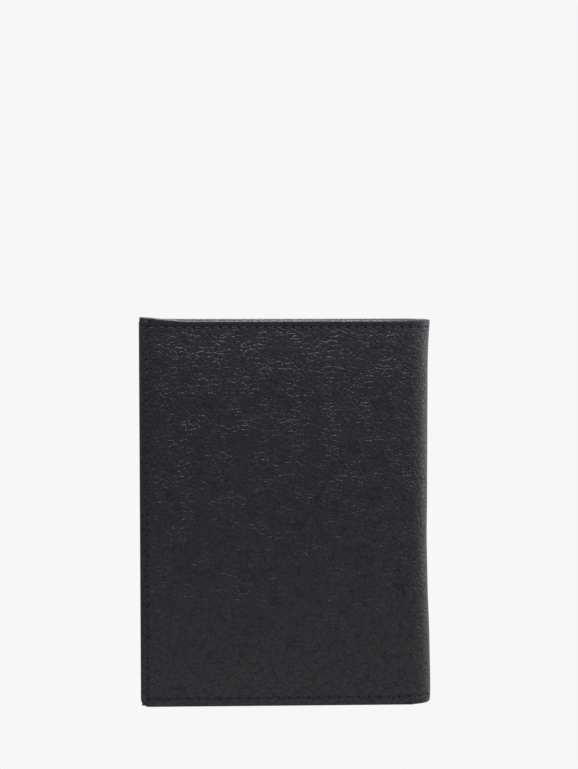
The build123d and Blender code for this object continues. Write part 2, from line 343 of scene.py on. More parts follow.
def stitchRows(name, starts, ends, across, surface, place, side=1):
    # Twisted stitches: an eight-sided tube from start to end along the row, whose ends dive in.
    # place(along, across, depth) gives the point in space, surface(along, across) the face's depth.
    # side is 1 on an outside face and -1 on an inside one.
    rings, around = thread["rings"], thread["around"]
    t = np.linspace(0, 1, rings)[None, :, None]
    phi = np.linspace(0, 2 * np.pi, around, endpoint=False)[None, None, :]
    starts, ends, across = (np.asarray(v, float)[:, None, None] for v in (starts, ends, across))
    along = starts + (ends - starts) * t
    sag = np.abs(2 * t - 1) ** 5
    twist = 1 + 0.12 * np.cos(2 * phi + 2 * np.pi * thread["twist"] * t)
    radius = thread["radius"] * (1 - 0.35 * sag) * twist
    over = across + thread["slant"] * (t - 0.5)
    level = surface(along, over) + side * (thread["rise"] + thread["dip"] * sag)
    points = place(along, over + radius * np.cos(phi), level - radius * np.sin(phi))
    piece = makePiece(name, points, tubeFaces(len(starts), around, rings), sharpAngle=80)
    return piece


def slitRows(name, centres, across, surface, place, lean):
    # Needle holes: slanted lens shapes, a rim of points round a sunk middle; their near-black finish is
    # painted shade in the holes
    around = 12
    phi = np.linspace(0, 2 * np.pi, around, endpoint=False)[None, None, :]
    centres, across = (np.asarray(v, float)[:, None, None] for v in (centres, across))
    long, wide = slit["length"] / 2 * np.cos(phi), slit["width"] / 2 * np.sin(phi)
    lift = np.array([0.25, -0.035, -0.01])[None, :, None] * mm
    scale = np.array([0.8, 1.0, 0.55])[None, :, None]
    along = centres + scale * (long * math.cos(lean) - wide * math.sin(lean))
    side = across + scale * (long * math.sin(lean) + wide * math.cos(lean))
    points = place(along, side, surface(along, side) + lift)
    piece = makePiece(name, points, tubeFaces(len(centres), around, 3), sharpAngle=80)
    return piece


def holesFrom(first, last, pitch):
    # Needle holes at even spacing, as near to the pitch as fits a whole number of stitches
    count = max(1, round((last - first) / pitch))
    return np.linspace(first, last, count + 1)


def faceOf(s, z):
    # Depth of the outside face, from the relief at its distance to the nearer open edge
    return coverRelief(s, z, np.minimum(s - openX, endS - s))


def wrapUpright(along, across, depth):
    # wrap with height first, for rows that run upright
    return wrap(across, along, depth)


def fixSeam(piece, body, *nodes):
    # The piece moves with the body and stands for the nodes, if any are named
    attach(piece, body)
    if nodes:
        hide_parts(*nodes)


threadPieces, slitPieces = [], []


def threadOver(name, s):
    # Thread from the top row over the turned edge to the inside: a rounded path in height and depth
    bend = np.linspace(0, np.pi, 9)
    reach = (liningDepth - liningSkin) / 2
    up = np.linspace(topSeamZ, height - reach, 4)[:-1]
    power = cover["beadPower"]
    z = np.concatenate([up, height - reach + reach * np.sin(bend) ** power, up[::-1]])
    outward = np.concatenate([up * 0 - 1, -np.sign(np.cos(bend)) * np.abs(np.cos(bend)) ** power, up * 0 + 1])
    depth = reach + outward * reach
    depth[0] += thread["tuck"]
    depth[-1] -= thread["tuck"]
    liftZ = np.concatenate([up * 0, np.sin(bend), up * 0])
    phi = np.linspace(0, 2 * np.pi, thread["around"], endpoint=False)[None, :]
    radius = thread["radius"]
    normalD, normalZ = outward[:, None] * (1 - liftZ[:, None]), liftZ[:, None]
    points = wrap(s + radius * np.cos(phi), z[:, None] + normalZ * radius * np.sin(phi),
                  depth[:, None] + normalD * radius * np.sin(phi))
    piece = makePiece(name, points, tubeFaces(1, thread["around"], len(z)), sharpAngle=80)
    return piece


def spineRows(low, high):
    # Stitches and needle holes of both rows round the spine that fall between two fold lines
    gap = thread["gap"] / 2
    stitches, marks = [], []
    for z, pitch in ((topSeamZ, thread["topPitch"]), (baseSeamZ, thread["pitch"])):
        holes = holesFrom(spineX, spineX + bendLength, pitch)
        middles = (holes[:-1] + holes[1:]) / 2
        mine = (middles >= low) & (middles < high)
        near = holes[(holes >= low) & (holes < high)]
        stitches.append((holes[:-1][mine] + gap, holes[1:][mine] - gap, np.full(mine.sum(), z)))
        marks.append((near, np.full(len(near), z)))
    return [np.concatenate(v) for v in zip(*stitches)], [np.concatenate(v) for v in zip(*marks)]


halves = (("rear", "rear_cover", 1), ("front", "front_cover", -1))


def coverHoles(sign):
    # Open edge and seam corner of a cover, and the needle holes of its top, bottom and upright rows
    edgeS, bendS = (openX, spineX) if sign > 0 else (endS, endS - (spineX - openX))
    corner = edgeS + sign * seamInset
    return (edgeS, corner, holesFrom(min(edgeS, bendS), max(edgeS, bendS), thread["topPitch"]),
            holesFrom(min(corner, bendS), max(corner, bendS), thread["pitch"]),
            holesFrom(baseSeamZ, topSeamZ, thread["pitch"]))


def outsideSeams():
    # Rows of both covers, seen from outside, then the two rows round the spine
    gap = thread["gap"] / 2
    for half, body, sign in halves:
        corner, topHoles, baseHoles, sideHoles = coverHoles(sign)[1:]
        rows = [(holes[:-1] + gap, holes[1:] - gap, np.full(len(holes) - 1, z))
                for holes, z in ((topHoles, topSeamZ), (baseHoles, baseSeamZ))]
        starts, ends, across = (np.concatenate(values) for values in zip(*rows))
        level = stitchRows(half + "LevelSeams", starts, ends, across, faceOf, wrap)
        fixSeam(level, body, half + "_top_seam")
        upright = stitchRows(half + "EdgeSeam", sideHoles[:-1] + gap, sideHoles[1:] - gap,
                             np.full(len(sideHoles) - 1, corner), lambda z, s: faceOf(s, z), wrapUpright)
        fixSeam(upright, body, half + "_edge_seam")
        centres = np.concatenate([topHoles[1:-1], baseHoles[1:]])
        heights = np.repeat([topSeamZ, baseSeamZ], [len(topHoles) - 2, len(baseHoles) - 1])
        levelSlits = slitRows(half + "LevelNeedleHoles", centres, heights, faceOf, wrap, -sign * slit["lean"])
        sideSlits = slitRows(half + "EdgeNeedleHoles", sideHoles, np.full(len(sideHoles), corner),
                             lambda z, s: faceOf(s, z), wrapUpright, slit["lean"])
        fixSeam(levelSlits, body)
        fixSeam(sideSlits, body)
        threadPieces.extend([level, upright])
        slitPieces.extend([levelSlits, sideSlits])
        over = threadOver(half + "ThreadOverEdge", corner)
        fixSeam(over, body)
        threadPieces.append(over)
    for number, (first, second, low, high) in enumerate(foldSpans()):
        (starts, ends, zs), (near, nearZs) = spineRows(low, high)
        piece = stitchRows(f"spineSeams{number + 1}", starts, ends, zs, faceOf, wrap)
        bendAcross(piece)
        if number + 1 < len(folds):
            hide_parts(f"spine_stitches_{number + 1}")
        marks = slitRows(f"spineNeedleHoles{number + 1}", near, nearZs, faceOf, wrap, -slit["lean"])
        bendAcross(marks)
        threadPieces.append(piece)
        slitPieces.append(marks)
    print("outside seams sewn")


outsideSeams()

# Lining, edge paint and boards
liningPieces, paintPieces = [], []


lining = {"cut": 0.3 * mm, "drop": 1 * mm, "slope": 1.5 * mm, "rows": 90}


def liningUnder(s):
    # Depth of the lining's outer face: on the board, then down a slope to the leather by the spine
    edge = np.minimum(s - openX, endS - s)
    over = smoothStep((spineX - boardGap - openX + lining["slope"] - edge) / lining["slope"])
    return leatherDepth + hair + over * (liningDepth - liningSkin - leatherDepth)


def liningSpan(name, sLow, sHigh, coarse):
    # Thin closed sheet under the leather
    s = spaced(sLow, sHigh, coarse, coarse, [], mm)[:, None]
    edge = np.minimum(s - openX, endS - s)
    outside = liningUnder(s)
    inside = outside + liningSkin
    rows = np.linspace(lining["cut"], height - lining["drop"], lining["rows"])
    upper = smoothStep((rows - hemLow + 0.5 * mm) / mm)     # over the hem the lining stands at full depth
    deep = liningDepth - liningSkin + hair
    out = outside * (1 - upper) + deep * upper
    inn = inside * (1 - upper) + (deep + liningSkin) * upper
    z = np.concatenate([rows, rows[::-1]])[None, :]
    depth = np.concatenate([out, inn[:, ::-1]], axis=1)
    sNow = s + np.where(s < spineX, 1, -1) * lining["cut"] * (edge < 0.01 * mm)
    points = wrap(sNow, z, depth)
    uv = np.stack(np.broadcast_arrays(s, z), -1)
    piece = makePiece(name, points, tubeFaces(1, z.size, s.size), uv, None, 60)
    return piece


def makeLining():
    # Both covers' stretches, then one stretch for each fold line
    for half, low, high, body in (("rear", openX, spineX, "rear_cover"),
                                  ("front", endS - (spineX - openX), endS, "front_cover")):
        piece = liningSpan(half + "Lining", low, high, 0.8 * mm)
        fixSeam(piece, body, half + "_lining")
        liningPieces.append(piece)
    for number, (first, second, low, high) in enumerate(foldSpans()):
        piece = liningSpan(f"spineLining{number + 1}", low, high, 0.4 * mm)
        bendAcross(piece)
        if number + 1 < len(folds):
            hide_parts(f"spine_lining_{number + 1}")
        liningPieces.append(piece)
    print("lining laid")


makeLining()


def pushTo(half, x, z, depth):
    # Point of a flat layer inside one half, at that depth under the cover's outside face
    y = cadLow.y + depth if half == "rear" else cadHigh.y - depth
    return np.stack(np.broadcast_arrays(x, y, z), -1)


paint = {
    "proud": 0.10 * mm,         # past the cut edges
    "under": 0.35 * mm,
    "round": 0.45,
    "around": 14,
    "outer": 0.28 * mm,         # depth of its outer rim
    "dome": 0.22 * mm,
}


def edgeBead(half):
    # Edge paint: a flattened bead over the cut edges of all layers, down the open edge,
    # round the lower corner and along the bottom to the end of the pocket stack
    radius = cover["cornerRadius"]
    down = np.arange(height - 0.4 * mm, radius, -0.5 * mm)
    bend = np.linspace(0, np.pi / 2, 12)[1:-1]
    along = np.arange(openX + radius, stackX, 0.8 * mm)
    x = np.concatenate([down * 0 + openX, openX + radius - radius * np.cos(bend), along])
    z = np.concatenate([down, radius - radius * np.sin(bend), along * 0])
    outX = np.concatenate([down * 0 - 1, -np.cos(bend), along * 0])
    outZ = np.concatenate([down * 0, -np.sin(bend), along * 0 - 1])
    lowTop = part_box("rear_low_pocket")[1].z
    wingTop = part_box("rear_card_pocket_1")[1].z
    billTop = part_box("rear_bill_divider")[1].z
    inner = liningDepth + 0.6 * mm * smoothStep((billTop - z) / mm + 1)
    inner = inner + 0.6 * mm * smoothStep((wingTop - z) / mm + 1)
    inner = inner + 0.2 * mm * smoothStep((lowTop - z) / mm + 1)
    outer = paint["outer"]
    phi = np.linspace(0, 2 * np.pi, paint["around"], endpoint=False)[None, :]
    middle, reach = (inner[:, None] + outer) / 2, (inner[:, None] - outer) / 2
    depth = middle - reach * np.sign(np.cos(phi)) * np.abs(np.cos(phi)) ** paint["round"]
    out = np.where(np.sin(phi) > 0, 0.0, -paint["under"]) - (1 - np.abs(np.sin(phi)) ** 0.8) * paint["dome"]
    px = x[:, None] + outX[:, None] * (out + paint["proud"])
    pz = z[:, None] + outZ[:, None] * out
    points = pushTo(half, px, pz, depth)
    piece = makePiece(half + "EdgePaint", points, tubeFaces(1, paint["around"], len(x), flip=half == "front"),
                      sharpAngle=80)
    fixSeam(piece, half + "_cover")
    paintPieces.append(piece)


boardPieces = []


def board(half):
    # Stiffener between leather and lining, cut back a little from the painted edges
    inset = 0.4 * mm
    radius = cover["cornerRadius"] - inset
    bend = np.linspace(0, np.pi / 2, 10)
    left, foot, right, top = openX + inset, inset, spineX - boardGap, hemLow - 0.1 * mm
    x = np.concatenate([[right, right, left], left + radius - radius * np.cos(bend)])
    z = np.concatenate([[foot, top, top], foot + radius - radius * np.sin(bend)])
    depth = np.array([leatherDepth + 0.04 * mm, liningDepth - liningSkin - 0.04 * mm])[:, None]
    points = pushTo(half, x[None, :], z[None, :], depth)
    piece = makePiece(half + "Board", points, tubeFaces(1, len(x), 2, flip=half == "front"), sharpAngle=40)
    fixSeam(piece, half + "_cover", half + "_stiffener")
    boardPieces.append(piece)


for half in ("rear", "front"):
    edgeBead(half)
    board(half)
print("edges painted, boards laid")

# Pockets and their seams
def boxDepths(node):
    # Least and greatest depth of a rear node under the outside face
    nodeLow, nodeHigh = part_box(node)
    return nodeLow.y - cadLow.y, nodeHigh.y - cadLow.y


pocket = {
    "marginStart": 2.9 * mm,    # where a sewn margin starts to rise to the face
    "marginRise": 2.8 * mm,
    "footStart": 3.9 * mm,
    "stackStart": 1.5 * mm,
    "stackSeam": 1.2 * mm,      # seam to the spine side of the stack
    "stackLow": 8 * mm,
    "margin": 4.4 * mm,         # sewn margin at the open edge
    "stemInset": 4 * mm,        # side of a stem to the pocket's wall
    "stemShift": 1.8 * mm,      # the margin at the spine side is this much narrower
    "creaseDown": 1.6 * mm,     # pressed line under an upper edge
    "creaseWidth": 0.28 * mm,
    "creaseDepth": 0.11 * mm,
    "belly": 0.12 * mm,
    "thin": 0.012 * mm,         # hair's breadth between two sheets that touch
}
panelPieces = []


def sheetPiece(half, name, node, margin, stackMargin, thickness, stemLow=None, footed=False, free=False):
    # A leather sheet of the inside. Its face lies at the node's greatest depth and falls to the
    # margin's depth at the open edge, to stackMargin at the spine side, and at the foot when footed.
    # With stemLow it is T-shaped: the middle hangs down to that height.
    nodeLow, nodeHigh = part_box(node)
    deep = boxDepths(node)[1]
    top, low = nodeHigh.z, nodeLow.z
    inset = pocket["margin"] + pocket["stemInset"]
    stem = [openX + inset, stackX - inset + pocket["stemShift"]]
    near = [openX + 4.5 * mm, stackX - 3 * mm]
    x = spaced(nodeLow.x + 0.1 * mm, nodeHigh.x, 1.6 * mm, 0.35 * mm, near, 2 * mm)
    sides = [value + shift * mm for value in stem for shift in (-0.03, 0.03)]
    x = np.sort(np.concatenate([x, sides]))[:, None]
    foot = np.full(x.shape, low)
    if stemLow is not None:
        foot = np.where((x > stem[0]) & (x < stem[1]), low, stemLow)
    radius = cover["cornerRadius"]
    if low < mm:
        short = np.clip(radius - (x - openX), 0, radius)
        foot = foot + 0.1 * mm + radius - np.sqrt(np.maximum(radius ** 2 - short ** 2, 0))
    rows = np.concatenate([np.linspace(0, 0.12, 14), np.linspace(0.14, 0.93, 30), np.linspace(0.94, 1, 16)])
    edge = np.linspace(0, np.pi, 7)[1:-1]
    halfSkin = thickness / 2
    zFace = foot + rows[None, :] * (top - halfSkin - foot)
    rise = smoothStep((x - openX - pocket["marginStart"]) / pocket["marginRise"])
    fall = smoothStep((stackX - pocket["stackStart"] - x) / pocket["marginRise"])

    def face(z):
        toeUp = smoothStep((z - pocket["footStart"]) / pocket["marginRise"]) if footed else 1.0
        rim = margin + (stackMargin - margin) * smoothStep(x / (20 * mm)) * toeUp
        share = rise * toeUp * (1.0 if free else fall)
        belly = -pocket["belly"] * share * smoothStep((top - z) / (12 * mm))
        below = (top - z - pocket["creaseDown"]) / pocket["creaseWidth"]
        crease = pocket["creaseDepth"] * np.exp(-below ** 2)
        return rim + (deep - rim) * share + belly - crease

    zEdge = top - halfSkin + halfSkin * np.sin(edge)[None, :]
    zTop = np.broadcast_to(zEdge, (len(x), len(edge)))
    faceTop = face(np.full_like(zTop, top - halfSkin))
    front = face(zFace)
    back = front - thickness + pocket["thin"]
    rounded = faceTop - halfSkin + halfSkin * np.cos(edge)[None, :]
    depth = np.concatenate([front, rounded, back[:, ::-1]], axis=1)
    z = np.concatenate([zFace, zTop, zFace[:, ::-1]], axis=1)
    s = x if half == "rear" else endS - (x - openX)
    points = wrap(s, z, depth)
    side = np.exp(-((x - openX) / (3.4 * mm)) ** 4)
    press = np.broadcast_to(0.55 + 0.45 * side, z.shape).copy()
    press[:, zFace.shape[1]:zFace.shape[1] + len(edge)] = 2.0
    uv = np.stack(np.broadcast_arrays(x + 0.2 + deep * 37, z), -1)
    faces = tubeFaces(1, z.shape[1], len(x), flip=half == "front")
    piece = makePiece(f"{half}{name}", points, faces, uv, press, 60)
    fixSeam(piece, half + "_cover", node.replace("rear", half))
    panelPieces.append(piece)


panelSkin = boxDepths("rear_card_pocket_1")[0] - boxDepths("rear_bill_divider")[0]
dividerLow, dividerHigh = boxDepths("rear_bill_divider")
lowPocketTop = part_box("rear_low_pocket")[1].z
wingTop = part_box("rear_card_pocket_1")[1].z
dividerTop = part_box("rear_bill_divider")[1].z
pocketSkin = 0.8 * mm
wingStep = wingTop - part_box("rear_card_pocket_2")[1].z


def makePockets():
    # In each half the divider, the three T-shaped pockets, and the low pocket over them
    for half in ("rear", "front"):
        sheetPiece(half, "BillDivider", "rear_bill_divider", dividerLow + panelSkin, dividerHigh, panelSkin,
                   footed=True, free=True)
        for k in (1, 2, 3):
            node = f"rear_card_pocket_{k}"
            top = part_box(node)[1].z
            sheetPiece(half, f"CardPocket{k}", node, dividerLow + 2 * panelSkin, dividerHigh + panelSkin,
                       panelSkin, stemLow=top - wingStep)
        sheetPiece(half, "LowPocket", "rear_low_pocket", dividerLow + panelSkin + pocketSkin,
                   dividerHigh + pocketSkin, pocketSkin, footed=True)
    print("pockets cut and folded")


def liningFace(s):
    # Depth of the lining's inner face below the hem
    return liningUnder(s) + liningSkin


def sideFace(s, z):
    # Depth of the innermost layer along the open edge
    layers = [(dividerTop, liningDepth + hair, dividerLow + panelSkin),
              (wingTop, dividerLow + panelSkin, dividerLow + 2 * panelSkin),
              (lowPocketTop, dividerLow + 2 * panelSkin, dividerLow + panelSkin + pocketSkin)]
    depth = np.full(np.broadcast(s, z).shape, liningDepth + hair)
    for top, above, below in layers:
        depth = depth + (below - above) * smoothStep((top - z) / (0.6 * mm) + 0.5)
    return depth


def baseFace(s, z):
    # Depth of the innermost layer along the foot
    edge = np.minimum(s - openX, endS - s)
    stack = smoothStep((stackX - openX - edge) / (0.6 * mm) + 0.5)
    return liningFace(s) * (1 - stack) + (dividerLow + panelSkin + pocketSkin) * stack + 0 * z


def topFace(s, z):
    # Depth of the lining's inner face along the top row
    return np.full(np.broadcast(s, z).shape, liningDepth + hair)


def stackFace(s, z):
    # Depth of the innermost layer along the spine side of the stack
    aboveLow = smoothStep((z - lowPocketTop) / (0.6 * mm) + 0.5)
    return dividerHigh + pocketSkin + (panelSkin - pocketSkin) * aboveLow + 0 * s


def insideSeams():
    # Each row of the covers and of the spine once more, on the face that it shows inside
    gap = thread["gap"] / 2
    for half, body, sign in halves:
        edgeS, corner, topHoles, baseHoles, sideHoles = coverHoles(sign)
        stackS = edgeS + sign * (stackX - pocket["stackSeam"] - openX)
        stackHoles = holesFrom(pocket["stackLow"], wingTop - 0.4 * mm, thread["pitch"])
        for part, holes, across, surface, place, node in (
                ("TopSeamInside", topHoles, topSeamZ, topFace, wrap, None),
                ("BaseSeamInside", baseHoles, baseSeamZ, baseFace, wrap, None),
                ("EdgeSeamInside", sideHoles, corner, lambda z, s: sideFace(s, z), wrapUpright, None),
                ("StackSeam", stackHoles, stackS, lambda z, s: stackFace(s, z), wrapUpright, "_stack_seam")):
            row = stitchRows(half + part, holes[:-1] + gap, holes[1:] - gap, np.full(len(holes) - 1, across),
                             surface, place, side=-1)
            fixSeam(row, body, *([half + node] if node else []))
            threadPieces.append(row)
    for number, (first, second, low, high) in enumerate(foldSpans()):
        (starts, ends, zs), _ = spineRows(low, high)
        for part, z, surface in (("Top", topSeamZ, topFace), ("Base", baseSeamZ, baseFace)):
            mine = zs == z
            row = stitchRows(f"spine{part}SeamInside{number + 1}", starts[mine], ends[mine], zs[mine],
                             surface, wrap, side=-1)
            bendAcross(row)
            threadPieces.append(row)
    print("inside seams sewn")


makePockets()
insideSeams()

# Materials
def newMaterial(name):
    # A material with its nodes, links and Principled shader
    material = bpy.data.materials.new(name)
    material.use_nodes = True
    nodes, links = material.node_tree.nodes, material.node_tree.links
    return material, nodes, links, nodes["Principled BSDF"]


def addNode(nodes, kind, **settings):
    # A node of that kind with its own settings
    node = nodes.new(kind)
    for key, value in settings.items():
        setattr(node, key, value)
    return node


def setInputs(node, **values):
    for key, value in values.items():
        node.inputs[key].default_value = value


def mathNode(nodes, links, operation, *values):
    # A Math node whose inputs are numbers or sockets
    node = addNode(nodes, "ShaderNodeMath", operation=operation)
    for slot, value in enumerate(values):
        if isinstance(value, (int, float)):
            node.inputs[slot].default_value = value
        else:
            links.new(value, node.inputs[slot])
    return node.outputs[0]


def rangeNode(nodes, links, value, low, high, outLow=0.0, outHigh=1.0):
    # Smooth step of the value from low to high, given out between outLow and outHigh
    node = addNode(nodes, "ShaderNodeMapRange", interpolation_type="SMOOTHSTEP")
    links.new(value, node.inputs["Value"])
    node.inputs["From Min"].default_value = low
    node.inputs["From Max"].default_value = high
    node.inputs["To Min"].default_value = outLow
    node.inputs["To Max"].default_value = outHigh
    return node.outputs["Result"]


def noiseNode(nodes, links, vector, **values):
    # Noise over those coordinates
    node = addNode(nodes, "ShaderNodeTexNoise")
    setInputs(node, **values)
    links.new(vector, node.inputs["Vector"])
    return node


def cellEdges(nodes, links, vector, randomness):
    # Distance to the nearest border between cells
    node = addNode(nodes, "ShaderNodeTexVoronoi", feature="DISTANCE_TO_EDGE")
    setInputs(node, Scale=1.0, Randomness=randomness)
    links.new(vector, node.inputs["Vector"])
    return node.outputs["Distance"]


def mixColors(nodes, links, factor, low, high):
    # From low to high by the factor; each is a colour or a socket
    node = addNode(nodes, "ShaderNodeMix", data_type="RGBA")
    links.new(factor, node.inputs["Factor"])
    for key, value in (("A", low), ("B", high)):
        if isinstance(value, tuple):
            node.inputs[key].default_value = value
        else:
            links.new(value, node.inputs[key])
    return node.outputs["Result"]


def bumpFrom(nodes, links, shader, level, strength, distance):
    # The shader's normal, bent by that level
    bump = addNode(nodes, "ShaderNodeBump")
    setInputs(bump, Strength=strength, Distance=distance)
    links.new(level, bump.inputs["Height"])
    links.new(bump.outputs["Normal"], shader.inputs["Normal"])


def hideCoordinates(nodes, links):
    # The hide's own flat coordinates in millimetres, bent a little by noise so no line is straight
    uv = addNode(nodes, "ShaderNodeUVMap", uv_map="hide")
    scaled = addNode(nodes, "ShaderNodeVectorMath", operation="SCALE")
    scaled.inputs["Scale"].default_value = 1 / mm
    links.new(uv.outputs["UV"], scaled.inputs[0])
    noise = noiseNode(nodes, links, scaled.outputs[0], Scale=0.30, Detail=1.5, Roughness=0.5)
    shifted = addNode(nodes, "ShaderNodeVectorMath", operation="SUBTRACT")
    links.new(noise.outputs["Color"], shifted.inputs[0])
    shifted.inputs[1].default_value = (0.5, 0.5, 0.5)
    grown = addNode(nodes, "ShaderNodeVectorMath", operation="SCALE")
    grown.inputs["Scale"].default_value = 0.9
    links.new(shifted.outputs[0], grown.inputs[0])
    bent = addNode(nodes, "ShaderNodeVectorMath", operation="ADD")
    links.new(scaled.outputs[0], bent.inputs[0])
    links.new(grown.outputs[0], bent.inputs[1])
    return scaled.outputs[0], bent.outputs[0]


def stretched(nodes, links, vector, width, tall):
    # Coordinates in which one cell is so many millimetres wide and tall
    node = addNode(nodes, "ShaderNodeVectorMath", operation="MULTIPLY")
    links.new(vector, node.inputs[0])
    node.inputs[1].default_value = (1 / width, 1 / tall, 1.0)
    return node.outputs[0]


hide = {
    "polish": 0.03,             # how much smoother the pressed margins shine
    "color": (0.0062, 0.0062, 0.0078, 1),
    # painted shade: the creases are coloured darker and bluer than the pebble tops
    "creaseColor": (0.0022, 0.0023, 0.0065, 1),
    "paintColor": (0.0020, 0.0012, 0.0010, 1),
    "relief": 0.19 * mm,
    "roughness": 0.40,
    "specular": 0.43,
    "creaseSpecular": 0.31,     # little light gets into the creases
}


def hideMaterial():
    # Pebbled leather: large flat pebbles wider than tall, parted by creases that come and go,
    # small pebbles between them, and fine pores. Sewn margins are pressed smoother.
    material, nodes, links, shader = newMaterial("pebbledHide")
    flat, bent = hideCoordinates(nodes, links)
    large = cellEdges(nodes, links, stretched(nodes, links, bent, 3.0, 1.75), 0.85)
    small = cellEdges(nodes, links, stretched(nodes, links, bent, 1.35, 0.95), 1.0)
    patches = noiseNode(nodes, links, flat, Scale=0.16, Detail=2.0)
    pores = noiseNode(nodes, links, flat, Scale=4.5, Detail=3.0)
    largeCrease = rangeNode(nodes, links, large, 0.0, 0.14)
    largeDome = rangeNode(nodes, links, large, 0.0, 0.45)
    smallCrease = rangeNode(nodes, links, small, 0.0, 0.16)
    depthMask = rangeNode(nodes, links, patches.outputs["Fac"], 0.38, 0.62, 0.50, 1.0)
    beads = noiseNode(nodes, links, flat, Scale=1.1, Detail=1.0)
    broken = rangeNode(nodes, links, beads.outputs["Fac"], 0.38, 0.60, 0.35, 1.2)
    pressed = addNode(nodes, "ShaderNodeAttribute", attribute_name="press")
    freedom = rangeNode(nodes, links, pressed.outputs["Fac"], 0.0, 1.0, 1.0, 0.30)
    gap = mathNode(nodes, links, "SUBTRACT", 1.0, largeCrease)
    strong = mathNode(nodes, links, "MULTIPLY", mathNode(nodes, links, "MULTIPLY", gap, broken), -0.75)
    dome = mathNode(nodes, links, "MULTIPLY", largeDome, 0.16)
    minor = mathNode(nodes, links, "MULTIPLY", smallCrease, 0.05)
    tooth = mathNode(nodes, links, "MULTIPLY", pores.outputs["Fac"], 0.045)
    relief = mathNode(nodes, links, "ADD", mathNode(nodes, links, "ADD", strong, dome), minor)
    share = mathNode(nodes, links, "MULTIPLY", depthMask, freedom)
    relief = mathNode(nodes, links, "MULTIPLY", relief, share)
    relief = mathNode(nodes, links, "ADD", relief, tooth)
    bumpFrom(nodes, links, shader, relief, 1.0, hide["relief"])
    # The creases get a darker, bluer colour than the tops: painted shade in the creases
    plateau = mathNode(nodes, links, "MULTIPLY", largeCrease, smallCrease)
    tint = mixColors(nodes, links, plateau, hide["creaseColor"], hide["color"])
    edgeShare = rangeNode(nodes, links, pressed.outputs["Fac"], 1.2, 1.8)
    painted = mixColors(nodes, links, edgeShare, tint, hide["paintColor"])
    links.new(painted, shader.inputs["Base Color"])
    satin, dull = hide["roughness"] - 0.06, hide["roughness"] + 0.08
    rough = rangeNode(nodes, links, pores.outputs["Fac"], 0.3, 0.7, satin, dull)
    polish = rangeNode(nodes, links, pressed.outputs["Fac"], 0.0, 1.0, 0.0, hide["polish"])
    links.new(mathNode(nodes, links, "SUBTRACT", rough, polish), shader.inputs["Roughness"])
    deepLarge = rangeNode(nodes, links, large, 0.0, 0.12)
    deepSmall = rangeNode(nodes, links, small, 0.0, 0.14, 0.55, 1.0)
    openness = mathNode(nodes, links, "MULTIPLY", deepLarge, deepSmall)
    shine = rangeNode(nodes, links, openness, 0.0, 1.0, hide["creaseSpecular"], hide["specular"])
    links.new(shine, shader.inputs["Specular IOR Level"])
    return material


def threadMaterial():
    # Waxed navy thread with fine strands along the twist
    material, nodes, links, shader = newMaterial("navyThread")
    place = addNode(nodes, "ShaderNodeTexCoord")
    noise = noiseNode(nodes, links, place.outputs["Object"], Scale=5200.0, Detail=2.0).outputs["Fac"]
    tint = mixColors(nodes, links, noise, (0.004, 0.0036, 0.014, 1), (0.010, 0.009, 0.036, 1))
    links.new(tint, shader.inputs["Base Color"])
    bumpFrom(nodes, links, shader, noise, 0.6, 0.05 * mm)
    shader.inputs["Roughness"].default_value = 0.6
    shader.inputs["Specular IOR Level"].default_value = 0.25
    return material


def plainNoiseMaterial(name, dark, light, scale, relief, roughness, specular=0.4):
    # Fine even noise in colour and bump, for paint, the painted shade of the needle holes, and board
    material, nodes, links, shader = newMaterial(name)
    place = addNode(nodes, "ShaderNodeTexCoord")
    noise = noiseNode(nodes, links, place.outputs["Object"], Scale=scale, Detail=3.0).outputs["Fac"]
    links.new(mixColors(nodes, links, noise, dark, light), shader.inputs["Base Color"])
    bumpFrom(nodes, links, shader, noise, 1.0, relief)
    shader.inputs["Roughness"].default_value = roughness
    shader.inputs["Specular IOR Level"].default_value = specular
    return material


def liningMaterial():
    # Fine twill: diagonal ribs crossed by finer threads
    material, nodes, links, shader = newMaterial("liningTwill")
    uv = addNode(nodes, "ShaderNodeUVMap", uv_map="hide")
    ribs = addNode(nodes, "ShaderNodeTexWave", wave_type="BANDS", bands_direction="DIAGONAL")
    setInputs(ribs, Scale=420.0, Distortion=0.6, Detail=1.0)
    links.new(uv.outputs["UV"], ribs.inputs["Vector"])
    cross = addNode(nodes, "ShaderNodeTexWave", wave_type="BANDS", bands_direction="X")
    setInputs(cross, Scale=700.0, Distortion=0.4)
    links.new(uv.outputs["UV"], cross.inputs["Vector"])
    both = mathNode(nodes, links, "MULTIPLY", ribs.outputs["Fac"], cross.outputs["Fac"])
    bumpFrom(nodes, links, shader, both, 0.8, 0.05 * mm)
    tint = mixColors(nodes, links, both, (0.006, 0.006, 0.011, 1), (0.016, 0.016, 0.026, 1))
    links.new(tint, shader.inputs["Base Color"])
    shader.inputs["Roughness"].default_value = 0.75
    shader.inputs["Sheen Weight"].default_value = 0.2
    return material


def paintOver(pieces, material):
    # The material becomes each piece's only one
    for piece in pieces:
        piece.data.materials.clear()
        piece.data.materials.append(material)


def paintNodes(nodes, material):
    # Finish of a carried CAD node, set on its object's material slots
    for name in nodes:
        for slot in frame["nodes"][name].material_slots:
            slot.link = "OBJECT"
            slot.material = material


hideFinish, threadFinish, liningFinish = hideMaterial(), threadMaterial(), liningMaterial()
